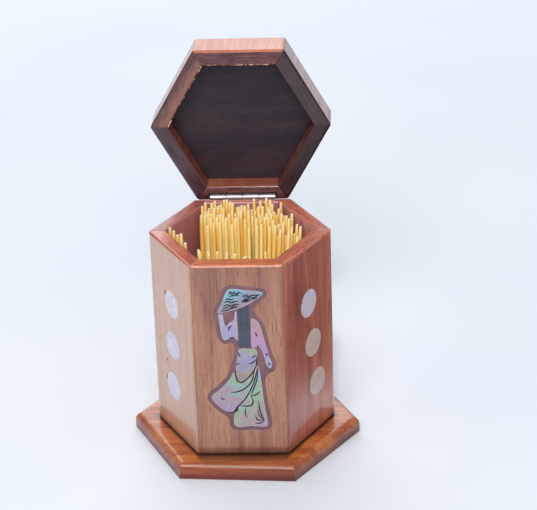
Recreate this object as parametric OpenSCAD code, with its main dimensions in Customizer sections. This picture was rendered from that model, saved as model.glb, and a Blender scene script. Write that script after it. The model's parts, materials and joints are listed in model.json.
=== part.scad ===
// Six-sided wooden toothpick box: mitred walls on a wide base plate, a hinged
// lid standing open, pearl inlay on the three front faces, and toothpicks.
// The front face looks along -Y, and the underside of the base lies at z = 0.

/* [Box] */
// Width of the box across its flats
across_flats = 52; // [46:1:64]
// Thickness of the wall boards and of the lid rails
wall = 5; // [4:0.5:7]
// Thickness of the floor panel between the walls
floor_thickness = 6; // [4:0.5:10]
// Radius of the eased upright corners
corner_radius = 3; // [1:0.5:5]
// Chamfer along the outer edges of the boards
edge_ease = 0.6; // [0.2:0.1:1]

/* [Base] */
// How far the base plate stands out past the box
base_overhang = 7; // [3:0.5:12]
// Thickness of the base plate
base_thickness = 5.5; // [4:0.5:8]
// Radius of the rounded upper edge of the base plate
base_round = 2.5; // [1:0.25:3.5]
// Angle by which the base plate is turned under the box
base_turn = -3.5; // [-6:0.5:6]

/* [Lid] */
// Height of the lid rails
lid_height = 15.5; // [13:0.5:22]
// Thickness of the panel let into the lid
panel_thickness = 7; // [4:0.5:8]
// Radius of the eased corners of the lid
lid_corner = 1.2; // [0.6:0.2:5]
// Angle at which the lid stands open on its stop
open_angle = 96; // [80:1:105]

/* [Hinge] */
// Length of the hinge along its pin
hinge_length = 22; // [16:1:26]
// Diameter of the hinge barrel
barrel_diameter = 2.4; // [2:0.1:3]
// Diameter of the hinge pin
pin_diameter = 1.2; // [0.8:0.1:1.4]
// Thickness of the hinge leaves
leaf_thickness = 0.7; // [0.4:0.1:0.9]
// Width of each leaf from the pin to its edge
leaf_width = 9; // [7:0.5:11]
// Depth of the bevel planed along the back of the box rim
body_bevel = 3; // [2:0.25:3.5]
// Depth of the bevel planed along the back of the lid rim
lid_bevel = 2.4; // [1.5:0.1:3]

/* [Inlay] */
// Diameter of the round pearl discs
disc_diameter = 9.5; // [6:0.5:12]
// Distance between the discs of a column
disc_pitch = 15.5; // [13:0.5:18]
// How far the middle disc sits below the middle of the wall
disc_drop = 1; // [-3:0.5:4]
// How far the middle of the left column sits towards the back
disc_shift_left = 0.4; // [-2:0.2:2]
// How far the middle of the right column sits towards the back
disc_shift_right = 1.6; // [-2:0.2:2]
// Sideways step from disc to disc in the left column
disc_step_left = 0.8; // [0:0.2:3]
// Sideways step from disc to disc in the right column
disc_step_right = 2.2; // [0:0.2:3]
// Height of the inlaid figure
figure_height = 50.8; // [36:0.2:52]
// Width of the filler that shows round the figure
figure_border = 1.1; // [0.6:0.1:1.4]
// Thickness of the pearl pieces
pearl_thickness = 0.8; // [0.5:0.1:1.2]

/* [Toothpicks] */
// Length of a toothpick
pick_length = 65; // [58:1:80]
// Diameter of a toothpick
pick_diameter = 1.4; // [1:0.1:1.6]
// Free space between neighbouring toothpicks of a row
pick_space = 0.6; // [0.5:0.1:2]
// How far an average toothpick stands above the rim
pick_show = 1.5; // [0:0.5:3]
// Share of its depth that the leaning bunch keeps at its tips
pick_lean = 0.5; // [0.4:0.02:1]
// Share by which the front of the bunch fans out to the right at its tips
pick_fan = 0.55; // [0:0.05:0.6]
// Share of the box width that the bunch fills
pick_fill = 0.78; // [0.5:0.01:0.82]

/* [Hidden] */
$fn = 48;

// How far cutting shapes run past the faces that they cut
past = 1;
sides = 6;
side_angle = 360 / sides;

// Levels of the box, from the ground up
apothem = across_flats / 2;
inner_apothem = apothem - wall;
inner_radius = inner_apothem / cos(side_angle / 2);
body_height = floor_thickness + pick_length - pick_show;
floor_top = base_thickness + floor_thickness;
rim = base_thickness + body_height;
base_apothem = apothem + base_overhang;

// Lid as it lies closed, a hair above the rim
lid_gap = 0.2;
lid_low = rim + lid_gap;
lid_high = lid_low + lid_height;

// Hinge axis, let in so that the leaves lie flush with the back
barrel_radius = barrel_diameter / 2;
axis_y = apothem - barrel_radius;
axis_z = rim + lid_gap / 2;
barrel_room = 0.3;
knuckles = 4;
knuckle_pitch = hinge_length / knuckles;
knuckle_gap = 0.2;
knuckle_length = knuckle_pitch - knuckle_gap;
leaf_room = 0.5;
leaf_relief = barrel_radius + leaf_room;
pin_play = 0.05;

// The lid's back face stops just clear of the lower edge of the bevel
stop_gap = 0.15;
bevel_drop = barrel_radius * tan(open_angle / 2) + stop_gap / sin(open_angle) - lid_gap / 2;
lid_bevel_rise = barrel_radius;

// Round-headed screws of the hinge
screw_diameter = 1.5;
screw_head_diameter = 3;
screw_head_height = 0.8;
screw_slot = 0.4;
screw_cover = 1;
screw_length = wall - screw_cover;
screw_share = 0.3;
screw_offset = hinge_length * screw_share;
screw_drop = (leaf_width + leaf_relief) / 2;

// Inlay
wall_middle = base_thickness + body_height / 2;
disc_thickness = 1;
bed_under = 0.4;
bed_depth = pearl_thickness + bed_under;
curve_steps = 4;

// Toothpick and its points
pick_radius = pick_diameter / 2;
pick_point = 7;
pick_blunt = 0.3;
pick_spread = 2.2;
pick_gap = 0.1;
pick_room = 0.2;

// Rows of the bunch, as far apart at the feet as the leaning tips need
pick_stray = 0.05;
pick_pitch = pick_diameter + pick_space;
foot_stray = (pick_space - pick_gap) / 2;
tip_pitch = pick_diameter + pick_gap + 2 * pick_stray;
fan_shear = pick_fan / (4 * cos(side_angle / 2));
row_square = fan_shear * fan_shear + pick_lean * pick_lean;
row_linear = pick_pitch * fan_shear;
row_rest = tip_pitch * tip_pitch - pick_pitch * pick_pitch / 4;
row_pitch = (row_linear + sqrt(row_linear * row_linear + 4 * row_square * row_rest)) / (2 * row_square);

// Toothpicks standing apart in rows along a side, with a row's middle and span there
// and how much higher it reaches at its two ends
loose_inset = pick_radius + pick_room;
loose_lean = 1.8;
loose_foot = loose_lean * loose_inset;
loose_fan = 0.75;
loose_drop = 2.5;
front_row_count = 8;
front_row_middle = -0.085 * inner_radius;
front_row_span = 0.81 * inner_radius;
front_row_back = 0.6;
front_row_rise = [3.5, 0];
second_row_count = 6;
second_row_middle = -0.2 * inner_radius;
second_row_span = 0.62 * inner_radius;
second_row_back = front_row_back + pick_pitch;
left_row_count = 5;
left_row_middle = -0.2 * inner_radius;
left_row_span = 0.46 * inner_radius;
left_row_rise = [3, 3];

// Bunch leaning on the back walls
bunch_apothem = inner_apothem - pick_radius - pick_room - foot_stray;
tip_apothem = inner_apothem - pick_blunt - pick_room - pick_stray;
bunch_front = -inner_apothem + loose_foot + second_row_back + pick_pitch + foot_stray;
bunch_left = inner_radius * (1 - 2 * pick_fill);
bunch_rows = floor((bunch_apothem - bunch_front) / row_pitch);
bunch_columns = ceil(inner_radius / pick_pitch);
missing_share = 0.04;
sunken_share = 0.16;
sunken_drop = 9;

// Front edge of the bunch at the left, how fast it falls to the right, and the rise of the left back corner
bunch_edge = -0.12 * inner_radius;
bunch_slant = 1.4;
bunch_rise = 3;

// Plan angle of each side, counted from the front round by the right
function side_turn(k) = k * side_angle;

// Repeatable scatter between 0 and 1, with an index for each use
scatter_turn = [127.1, 311.7, 74.7];
scatter_ratio = 437.5;
foot_index = 1;
tip_index = 3;
length_index = 5;
loose_index = 7;
missing_index = 9;
sunken_index = 11;
function scatter(a, b, c) = let (s = sin([a, b, c] * scatter_turn) * scatter_ratio) s - floor(s);

function turned(p, angle) = [
    p.x * cos(angle) - p.y * sin(angle),
    p.x * sin(angle) + p.y * cos(angle)
];

// Half the width at a depth y of a plan hexagon with the given apothem
function half_width(y, reach) = (reach - abs(y) / 2) / cos(side_angle / 2);

// Where the tip of a leaning toothpick stands over its foot
function tip_over(foot) = let (back = bunch_apothem - foot.y) [
    foot.x > 0 ? foot.x * (1 + pick_fan * back / (2 * bunch_apothem)) : foot.x,
    bunch_apothem - back * pick_lean
];

// Where a leaning toothpick starts to taper, seen in plan
function shoulder_over(foot) = foot + (1 - pick_point / pick_length) * (tip_over(foot) - foot);

function in_bunch(p, reach) = p.x > bunch_left && abs(p.x) < half_width(p.y, reach);

// Closed smooth curve through a ring of points, by the cubic of four neighbours
function curve_point(p0, p1, p2, p3, t) =
    0.5 * (2 * p1 + (p2 - p0) * t + (2 * p0 - 5 * p1 + 4 * p2 - p3) * t * t
        + (3 * p1 - p0 - 3 * p2 + p3) * t * t * t);
function closed_curve(points) = let (n = len(points)) [
    for (i = [0:n - 1], s = [0:curve_steps - 1])
        curve_point(points[(i + n - 1) % n], points[i], points[(i + 1) % n], points[(i + 2) % n],
            s / curve_steps)
];

// Ring of points moved outwards, for rings that run clockwise
function grown(points, by) = let (n = len(points)) [
    for (i = [0:n - 1])
        let (along = points[(i + 1) % n] - points[(i + n - 1) % n])
            points[i] + by * [-along.y, along.x] / norm(along)
];

// Outlines of the inlaid figure about the middle of the front face, clockwise
hat_outline = closed_curve([
    [-6.5, 18], [-5.1, 21.4], [-3.9, 24.6], [-2.3, 26.4], [2.6, 25.9], [8, 24.95], [5.5, 22.5],
    [3.1, 20.8], [-0.4, 19.25], [-3.4, 18.45]
]);
hair_outline = closed_curve([
    [-0.05, 18.85], [1.8, 19.7], [3.5, 20.4], [3.45, 16.3], [3.55, 11.8], [3.3, 5.6], [1.5, 5.4],
    [-0.1, 5.5], [0, 9], [-0.05, 14.5]
]);
blouse_outline = closed_curve([
    [-6.3, 17.1], [-5.05, 17.2], [-4.75, 15.3], [-4.2, 13.1], [-2.85, 14.4], [-1.4, 15.4], [-1.1, 17.9],
    [-0.6, 18.2], [-0.5, 14.5], [-0.45, 9.5], [-0.65, 7.8], [-1.3, 8.7], [-2.7, 8.8], [-4.8, 8.1],
    [-5.7, 10.4], [-6.05, 14.5]
]);
sleeve_outline = closed_curve([
    [4.1, 15.7], [5.3, 15.4], [6.6, 13.6], [7.5, 10.2], [8.4, 6.3], [9.3, 2.1], [10.1, -0.3],
    [9.9, -2.2], [9.1, -2.1], [8.3, -0.5], [7.7, 2.5], [6.7, 5.1], [5.9, 6.3], [5.3, 5.5], [3.9, 5.6],
    [3.95, 11.8], [3.9, 14]
]);
tunic_outline = closed_curve([
    [-0.1, 4.7], [2.6, 4.8], [5.2, 4.6], [5.5, 2.1], [5.2, -0.4], [4.2, -2.9], [2.2, -5.6], [-0.2, -7.2],
    [-1.3, -4.8], [-1.4, -1.3], [-0.75, 1.8]
]);
skirt_outline = closed_curve([
    [-2.2, -3.8], [-1.8, -5.3], [-0.4, -7.8], [2.5, -6.1], [4.5, -3.5], [5.3, -1.3], [5.15, -3.4],
    [4.4, -6], [3, -9.9], [0.8, -13.8], [-1.6, -16.4], [-2.9, -18.2], [-4.3, -18.6], [-6.9, -16.9],
    [-8.7, -14.8], [-9.6, -12.5], [-6.4, -9.6], [-3.7, -6.5]
]);
trousers_outline = closed_curve([
    [5.8, -1.6], [6.4, -5.5], [6.9, -11.5], [7.5, -17], [8.2, -22], [8, -23.7], [6.4, -24.1],
    [3, -23.8], [-1, -24.2], [-2.6, -23.2], [-2.7, -20.9], [-2.3, -18.9], [-1.1, -16.8], [1.3, -14],
    [3.45, -10], [4.85, -6], [5.6, -3.4]
]);
figure_outlines = [
    hat_outline, hair_outline, blouse_outline, sleeve_outline, tunic_outline, skirt_outline, trousers_outline
];

// Silhouette that the filler runs round
figure_silhouette = closed_curve([
    [-6.9, 17.8], [-5.4, 21.5], [-4.2, 24.8], [-2.4, 26.7], [2.6, 26.2], [8.3, 25.1], [6.8, 23],
    [4.4, 20.6], [3.9, 18.3], [5, 16.1], [6.9, 13.7], [7.7, 10.2], [8.6, 6.3], [9.5, 2.1], [10.4, -0.3],
    [10.1, -2.6], [8.9, -3.3], [7.3, -5], [6.8, -7.5], [7.1, -11.5], [7.7, -17], [8.5, -22], [8.3, -24],
    [6.4, -24.4], [3, -24.1], [-1, -24.5], [-2.9, -23.4], [-3.1, -21.2], [-4.4, -19.2], [-7, -17.2],
    [-8.9, -15], [-9.9, -12.5], [-6.6, -9.3], [-3.8, -6.1], [-2.5, -3.4], [-1.7, -0.6], [-1, 2],
    [-0.7, 4.5], [-0.9, 6.6], [-2.3, 7.9], [-4.8, 7.8], [-6, 10.4], [-6.4, 14.5]
]);
drawn_levels = [for (outline = figure_outlines, p = outline) p.y];
figure_scale = figure_height / (max(drawn_levels) - min(drawn_levels));

// Feet of the bunch in plan, each with its column and row
bunch_feet = [
    for (j = [0:bunch_rows], i = [-bunch_columns:bunch_columns])
        let (foot = [(i + (j % 2) / 2) * pick_pitch, bunch_apothem - j * row_pitch])
            if (in_bunch(foot, bunch_apothem) && in_bunch(shoulder_over(foot), bunch_apothem)
                && in_bunch(tip_over(foot), tip_apothem) && foot.y > bunch_edge - bunch_slant * max(0, foot.x)
                && scatter(i, j, missing_index) > missing_share)
                [foot, i, j]
];

// Upright prism of the box plan with rounded corners
module eased_prism(low, high, round) {
    corner_reach = (apothem - round) / cos(side_angle / 2);
    translate([0, 0, low])
        linear_extrude(high - low)
            union() {
                difference() {
                    circle(r = apothem / cos(side_angle / 2), $fn = sides);
                    for (k = [0:sides - 1])
                        rotate(side_turn(k))
                            translate([corner_reach + round * cos(side_angle / 2), -apothem])
                                square([across_flats, across_flats]);
                }
                for (k = [0:sides - 1])
                    rotate(side_turn(k))
                        translate([corner_reach, 0])
                            circle(round);
            }
}

// Mitred board of the front side, its mouth edge up or down
module stave(low, high, round, mouth_up) {
    mouth = edge_ease / 2;
    inner_low = mouth_up ? 0 : mouth;
    inner_high = mouth_up ? mouth : 0;
    intersection() {
        rotate([90, 0, 90])
            linear_extrude(across_flats, center = true)
                polygon([
                    [-apothem, low + edge_ease],
                    [-apothem + edge_ease, low],
                    [-inner_apothem - inner_low, low],
                    [-inner_apothem, low + inner_low],
                    [-inner_apothem, high - inner_high],
                    [-inner_apothem - inner_high, high],
                    [-apothem + edge_ease, high],
                    [-apothem, high - edge_ease]
                ]);
        translate([0, 0, low])
            linear_extrude(high - low)
                polygon([
                    [0, 0],
                    [-across_flats * tan(side_angle / 2), -across_flats],
                    [across_flats * tan(side_angle / 2), -across_flats]
                ]);
        eased_prism(low, high, round);
    }
}

// Bar that planes the bevel along the back of the rim, upwards or downwards
module back_bevel(level, depth, drop) {
    run = drop / depth;
    rotate([90, 0, 90])
        linear_extrude(2 * across_flats, center = true)
            polygon([
                [apothem - depth, level],
                [apothem + past, level - run * (depth + past)],
                [apothem + past, level + sign(drop) * past],
                [apothem - depth, level + sign(drop) * past]
            ]);
}

// Rod along the hinge axis
module hinge_rod(radius, length) {
    translate([0, axis_y, axis_z])
        rotate([0, 90, 0])
            cylinder(r = radius, h = length, center = true);
}

// Seat for one leaf, the barrel and the screws; down is 1 on the box and -1 on the lid
module hinge_seat(down) {
    hinge_rod(barrel_radius + barrel_room, hinge_length + 2 * barrel_room);
    translate([-hinge_length / 2, apothem - leaf_thickness, axis_z + (down > 0 ? -leaf_width : -past)])
        cube([hinge_length, leaf_thickness + past, leaf_width + past]);
    screw_places(down)
        cylinder(d = screw_diameter, h = screw_length);
}

// Puts its children at the screws, pointing into the wood
module screw_places(down) {
    for (x = [-screw_offset, screw_offset])
        translate([x, apothem, axis_z - down * screw_drop])
            rotate([90, 0, 0])
                children();
}

// Leaf with its two knuckles, first counted from the left
module hinge_leaf(down, first, bore) {
    difference() {
        union() {
            translate([0, 0, axis_z])
                mirror([0, 0, down > 0 ? 0 : 1])
                    leaf_plate(first);
            for (k = [first, first + 2])
                translate([knuckle_place(k), 0, 0])
                    hinge_rod(barrel_radius, knuckle_length);
        }
        hinge_rod(bore / 2, hinge_length + past);
        screw_places(down)
            cylinder(d = screw_diameter, h = screw_length);
    }
}

function knuckle_place(k) = (k + 0.5) * knuckle_pitch - hinge_length / 2;

// Flat of a leaf hanging from z = 0, with tongues up to its knuckles
module leaf_plate(first) {
    translate([-hinge_length / 2, apothem - leaf_thickness, -leaf_width])
        cube([hinge_length, leaf_thickness, leaf_width - leaf_relief]);
    for (k = [first, first + 2])
        translate([knuckle_place(k) - knuckle_length / 2, apothem - leaf_thickness, -leaf_width])
            cube([knuckle_length, leaf_thickness, leaf_width]);
}

// Round-headed slotted screw, head outside the leaf
module screw() {
    difference() {
        union() {
            cylinder(d = screw_diameter, h = screw_length);
            translate([0, 0, -screw_head_height])
                cylinder(d = screw_head_diameter, h = screw_head_height);
        }
        translate([-screw_head_diameter / 2, -screw_slot / 2, -screw_head_height - past])
            cube([screw_head_diameter, screw_slot, past + screw_head_height / 2]);
    }
}

// Swings its children from the closed lid to the open one
module opened() {
    translate([0, axis_y, axis_z])
        rotate([-open_angle, 0, 0])
            translate([0, -axis_y, -axis_z])
                children();
}

// Rail as it lies on the rim
module closed_rail(k) {
    rotate([0, 0, side_turn(k)])
        stave(lid_low, lid_high, lid_corner, false);
}

module lid_rail(k) {
    opened()
        closed_rail(k);
}

// Rail whose back end is planed for the hinge
module lid_rail_planed(k) {
    opened()
        difference() {
            closed_rail(k);
            back_bevel(lid_low, lid_bevel, -lid_bevel_rise);
        }
}

module wall_plain(k) {
    rotate([0, 0, side_turn(k)])
        stave(base_thickness, rim, corner_radius, true);
}

// Wall whose back end is planed for the hinge
module wall_planed(k) {
    difference() {
        wall_plain(k);
        back_bevel(rim, body_bevel, bevel_drop);
    }
}

// Column of three discs or of their seats in a side wall; outwards is the sideways direction
module disc_column(k, shift, step, outwards, extra) {
    rotate([0, 0, side_turn(k)])
        for (n = [-1:1])
            translate([
                outwards * (shift + step * n),
                -apothem + disc_thickness,
                wall_middle - disc_drop - n * disc_pitch
            ])
                rotate([90, 0, 0])
                    cylinder(d = disc_diameter, h = disc_thickness + extra);
}

// Slab of an outline set into the front face
module front_slab(depth, extra) {
    translate([0, -apothem + depth, wall_middle])
        rotate([90, 0, 0])
            linear_extrude(depth + extra)
                children();
}

module figure_piece(outline) {
    front_slab(pearl_thickness, 0)
        polygon(figure_scale * outline);
}

module bed_outline() {
    polygon(grown(figure_scale * figure_silhouette, figure_border));
}

// Toothpick on a line from a foot on the floor towards a tip in plan, cut to its own length
module pick(foot, tip, length) {
    lean = tip - foot;
    tilt = asin(min(1, norm(lean) / pick_length));
    translate([foot.x, foot.y, floor_top + pick_blunt * sin(tilt)])
        rotate([0, 0, atan2(lean.y, lean.x)])
            rotate([0, tilt, 0])
                rotate_extrude()
                    polygon([
                        [0, 0],
                        [pick_blunt, 0],
                        [pick_radius, pick_point],
                        [pick_radius, length - pick_point],
                        [pick_blunt, length],
                        [0, length]
                    ]);
}

// Small step away from a place in the bunch
function stray(reach, i, j, n) = reach * sqrt(scatter(i, j, n)) * [
    cos(360 * scatter(i, j, n + 1)),
    sin(360 * scatter(i, j, n + 1))
];

module base_plate() {
    color("#b56a35")
        rotate([0, 0, base_turn])
            intersection_for (k = [0:2])
                rotate([0, 0, side_turn(k)])
                    base_bar();
}

// Bar with rounded upper edges, as wide as the base plate across its flats
module base_bar() {
    flat = base_apothem - base_round;
    rotate([90, 0, 90])
        linear_extrude(3 * base_apothem, center = true)
            union() {
                translate([-base_apothem, 0])
                    square([2 * base_apothem, base_thickness - base_round]);
                translate([-flat, 0])
                    square([2 * flat, base_thickness]);
                for (x = [-flat, flat])
                    translate([x, base_thickness - base_round])
                        circle(base_round);
            }
}

module box_floor() {
    color("#8a5a3c")
        translate([0, 0, base_thickness])
            cylinder(r = inner_radius, h = floor_thickness, $fn = sides);
}

module wall_front() {
    color("#a87d64")
        difference() {
            wall_plain(0);
            front_slab(bed_depth, past)
                bed_outline();
        }
}

module wall_front_right() {
    color("#9b5a4b")
        difference() {
            wall_plain(1);
            disc_column(1, disc_shift_right, disc_step_right, 1, past);
        }
}

module wall_back_right() {
    color("#9b5a4b")
        wall_planed(2);
}

module wall_back() {
    color("#9b5a4b")
        difference() {
            wall_planed(3);
            hinge_seat(1);
        }
}

module wall_back_left() {
    color("#9b5a4b")
        wall_planed(4);
}

module wall_front_left() {
    color("#b98d7d")
        difference() {
            wall_plain(5);
            disc_column(5, disc_shift_left, disc_step_left, -1, past);
        }
}

module lid_rail_front() {
    color("#a8644c")
        lid_rail(0);
}

module lid_rail_front_right() {
    color("#a8644c")
        lid_rail(1);
}

module lid_rail_back_right() {
    color("#a8644c")
        lid_rail_planed(2);
}

module lid_rail_back() {
    color("#a8644c")
        opened()
            difference() {
                closed_rail(3);
                back_bevel(lid_low, lid_bevel, -lid_bevel_rise);
                hinge_seat(-1);
            }
}

module lid_rail_back_left() {
    color("#a8644c")
        lid_rail_planed(4);
}

module lid_rail_front_left() {
    color("#a8644c")
        lid_rail(5);
}

module lid_panel() {
    color("#3c2d30")
        opened()
            translate([0, 0, lid_high - panel_thickness])
                cylinder(r = inner_radius, h = panel_thickness, $fn = sides);
}

module hinge_leaf_body() {
    color("#c8c8c8")
        hinge_leaf(1, 0, pin_diameter);
}

module hinge_leaf_lid() {
    color("#c8c8c8")
        opened()
            hinge_leaf(-1, 1, pin_diameter + 2 * pin_play);
}

module hinge_pin() {
    color("#b0b0b0")
        hinge_rod(pin_diameter / 2, hinge_length);
}

module hinge_screws_body() {
    color("#b8b8b8")
        screw_places(1)
            screw();
}

module hinge_screws_lid() {
    color("#b8b8b8")
        opened()
            screw_places(-1)
                screw();
}

module pearl_discs_left() {
    color("#e6dfe6")
        disc_column(5, disc_shift_left, disc_step_left, -1, 0);
}

module pearl_discs_right() {
    color("#efe3d6")
        disc_column(1, disc_shift_right, disc_step_right, 1, 0);
}

module inlay_bed() {
    color("#7d5055")
        difference() {
            front_slab(bed_depth, 0)
                bed_outline();
            for (outline = figure_outlines)
                front_slab(pearl_thickness, past)
                    polygon(figure_scale * outline);
        }
}

module inlay_hat() {
    color("#c9d3d8")
        figure_piece(hat_outline);
}

module inlay_hair() {
    color("#4b5560")
        figure_piece(hair_outline);
}

module inlay_blouse() {
    color("#e3d4e4")
        figure_piece(blouse_outline);
}

module inlay_sleeve() {
    color("#dcc3cf")
        figure_piece(sleeve_outline);
}

module inlay_tunic() {
    color("#bcd6cf")
        figure_piece(tunic_outline);
}

module inlay_skirt() {
    color("#d6cfc0")
        figure_piece(skirt_outline);
}

module inlay_trousers() {
    color("#c8d8e0")
        figure_piece(trousers_outline);
}

// How much shorter a toothpick of the bunch is, for the few that are broken off
function sunk(i, j) = scatter(i, j, sunken_index) < sunken_share
    ? sunken_drop * scatter(i, j, sunken_index + 1) : 0;

// How much higher a toothpick of the bunch reaches towards the left back corner
function raised(foot) = bunch_rise * max(0, -foot.x / inner_radius) * max(0, foot.y / bunch_apothem);

module toothpicks() {
    color("#e1b464")
        for (spot = bunch_feet)
            pick(
                spot[0] + stray(foot_stray, spot[1], spot[2], foot_index),
                tip_over(spot[0]) + stray(pick_stray, spot[1], spot[2], tip_index),
                pick_length + pick_spread * (2 * scatter(spot[1], spot[2], length_index) - 1)
                    + raised(spot[0]) - sunk(spot[1], spot[2])
            );
}

// Fanned row of toothpicks along side k, about a middle measured along that side, back from its wall
module loose_row(row, k, count, middle, span, back, rise) {
    for (n = [0:count - 1]) {
        along = span * (n / (count - 1) - 0.5);
        foot = turned([middle + loose_fan * along, -inner_apothem + loose_foot + back], side_turn(k));
        tip = turned([middle + along, -inner_apothem + loose_inset + back], side_turn(k));
        length = pick_length + rise[0] + (rise[1] - rise[0]) * n / (count - 1);
        pick(foot, tip, length - loose_drop * scatter(n, row, loose_index));
    }
}

module toothpicks_loose() {
    color("#e1b464") {
        loose_row(0, 0, front_row_count, front_row_middle, front_row_span, front_row_back, front_row_rise);
        loose_row(1, 0, second_row_count, second_row_middle, second_row_span, second_row_back, front_row_rise);
        loose_row(2, 5, left_row_count, left_row_middle, left_row_span, 0, left_row_rise);
    }
}

base_plate();
box_floor();
wall_front();
wall_front_right();
wall_back_right();
wall_back();
wall_back_left();
wall_front_left();
lid_rail_front();
lid_rail_front_right();
lid_rail_back_right();
lid_rail_back();
lid_rail_back_left();
lid_rail_front_left();
lid_panel();
hinge_leaf_body();
hinge_leaf_lid();
hinge_pin();
hinge_screws_body();
hinge_screws_lid();
pearl_discs_left();
pearl_discs_right();
inlay_bed();
inlay_hat();
inlay_hair();
inlay_blouse();
inlay_sleeve();
inlay_tunic();
inlay_skirt();
inlay_trousers();
toothpicks();
toothpicks_loose();
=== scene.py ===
"""Dresses a six-sided wooden toothpick box: lacquered boards, pearl inlay, plated hinge and toothpicks."""
import json
import logging
import math
import random
from collections.abc import Iterator, Sequence
from contextlib import contextmanager
from dataclasses import dataclass, field, replace
from enum import Enum
from typing import Union

import bpy
from mathutils import Matrix, Vector


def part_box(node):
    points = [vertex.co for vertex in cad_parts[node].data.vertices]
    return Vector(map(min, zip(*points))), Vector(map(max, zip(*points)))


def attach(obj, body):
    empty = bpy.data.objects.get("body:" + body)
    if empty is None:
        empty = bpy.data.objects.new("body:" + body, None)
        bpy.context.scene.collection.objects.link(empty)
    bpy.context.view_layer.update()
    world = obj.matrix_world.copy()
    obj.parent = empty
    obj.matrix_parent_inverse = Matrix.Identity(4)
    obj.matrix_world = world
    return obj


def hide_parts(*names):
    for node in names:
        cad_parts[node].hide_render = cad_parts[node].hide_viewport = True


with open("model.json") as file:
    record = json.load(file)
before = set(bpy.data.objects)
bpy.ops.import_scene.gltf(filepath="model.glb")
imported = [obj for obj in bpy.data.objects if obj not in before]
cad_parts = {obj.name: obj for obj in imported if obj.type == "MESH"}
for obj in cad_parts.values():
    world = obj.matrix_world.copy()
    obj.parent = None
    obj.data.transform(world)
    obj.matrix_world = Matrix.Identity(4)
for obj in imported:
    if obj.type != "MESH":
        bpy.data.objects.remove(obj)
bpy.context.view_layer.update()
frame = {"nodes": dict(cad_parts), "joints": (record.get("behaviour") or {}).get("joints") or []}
LOG = logging.getLogger("toothpick_box")
MM = 0.001
MITRE = math.tan(math.radians(30.0))
TIP = "tip"
# Colour of the painted shade in the gap under the walls and of the box's painted shadow on the base plate
GAP_SHADE_COLOUR = "1a1213"
WHITE = "ffffff"
UP = (0.0, 0.0, 1.0)
DOWN = (0.0, 0.0, -1.0)
BACK = (0.0, 1.0, 0.0)
ZERO = (0.0, 0.0, 0.0)
ONE = (1.0, 1.0, 1.0)

# Levels between which most of a noise lies, and runs of the masks on edges and on turned faces
NOISE_SPAN = (0.3, 0.7)
EDGE_SPAN = (0.995, 0.9)
FACING_RUN = 0.2

# Reach and strength of dirt in the mitres, levels over which a wall darkens towards its top, reach of the
# painted shade in the gap up a wall
MITRE_REACH = (-0.35 * MM, -0.1 * MM)
MITRE_DIRT = 0.75
CROWN_LEVELS = (50.0 * MM, 76.0 * MM)
GAP_REACH = 1.5 * MM

# Plan angle of each pair of walls, with the reach of the box's painted shadow beside it on the base plate
FOOTPRINT_REACH = ((0.0, 6.0 * MM), (60.0, 1.2 * MM), (-60.0, 1.2 * MM))

# Where the paler band of a rim starts and ends, from the outside in, and how far it wanders
BAND_SPAN = (-24.2 * MM, -22.6 * MM)
BAND_WANDER = 0.8 * MM

Colour = tuple[float, float, float, float]
Way = tuple[float, float, float]
Triple = Sequence[float]
Stroke = tuple[tuple[float, float], ...]
Socket = bpy.types.NodeSocket
Material = bpy.types.Material
Piece = bpy.types.Object
Key = Union[int, str]
Value = Union[Socket, float, Triple]
Feeds = dict[Key, Value]


def paint(code: str) -> Colour:
    """Turns a six-digit colour code into the linear colour that shaders take.

    Args:
        code: Red, green and blue as pairs of hex digits.

    Returns:
        Linear red, green and blue, fully opaque.
    """
    parts = [int(code[i:i + 2], 16) / 255.0 for i in (0, 2, 4)]
    red, green, blue = [c / 12.92 if c <= 0.04045 else ((c + 0.055) / 1.055) ** 2.4 for c in parts]
    return red, green, blue, 1.0


def evenly(shades: Sequence[str]) -> list[tuple[float, str]]:
    """Stops of a ramp on which each shade has the same share."""
    return [((i + 0.5) / len(shades), code) for i, code in enumerate(shades)]


class Side(Enum):
    """Sides of the box, each with its plan angle from the front round by the right."""

    FRONT = 0
    FRONT_RIGHT = 60
    BACK_RIGHT = 120
    BACK = 180
    BACK_LEFT = 240
    FRONT_LEFT = 300

    @property
    def label(self) -> str:
        """Side's part of a node name."""
        return self.name.lower()


class Lie(Enum):
    """Ways that the grain of a board runs, as the turn that sets it upright."""

    UPRIGHT = (0.0, 0.0, 0.0)
    ACROSS = (0.0, -90.0, 0.0)
    TILTED = (0.0, -84.0, 0.0)


@dataclass(frozen=True)
class Noise:
    """Soft noise: features to a metre, finer layers, their strength, twist, stretch, and turn in degrees."""

    scale: float
    detail: float = 2.0
    rough: float = 0.5
    warp: float = 0.0
    stretch: Way = ONE
    turn: Way = ZERO


@dataclass(frozen=True)
class Board:
    """Where a board sits, how dirty it is and where shade is painted on it.

    The pose closes the lid, the turn is the plan angle of the board's side, and the rim looks along its own
    way. Grime lies in the mitres, grime and painted shade lie up to the joint level, painted shade darkens
    the gap between walls and base plate, the box's painted shadow darkens the base plate inside the
    footprint, and the crown darkens the upper part of a wall.
    """

    pose: Matrix
    turn: float
    rim_way: Way
    seed: float
    mitred: bool = True
    joint_level: float = 0.0
    joint_reach: float = 0.9 * MM
    foot_shade_and_dirt: float = 0.7
    band: float = 0.0
    gap: float = 0.0
    gap_level: float = 0.0
    footprint: float = 0.0
    crown: float = 0.0
    rim_least: float = 0.5

    @property
    def shift(self) -> Way:
        """Shift of the board's patterns, so that no two boards are alike."""
        return self.seed, 1.7 * self.seed, 0.6 * self.seed

    @property
    def inward(self) -> Vector:
        """Direction that the board's inner face looks along."""
        angle = math.radians(self.turn)
        return self.pose.inverted().to_3x3() @ Vector((-math.sin(angle), math.cos(angle), 0.0))


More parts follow.
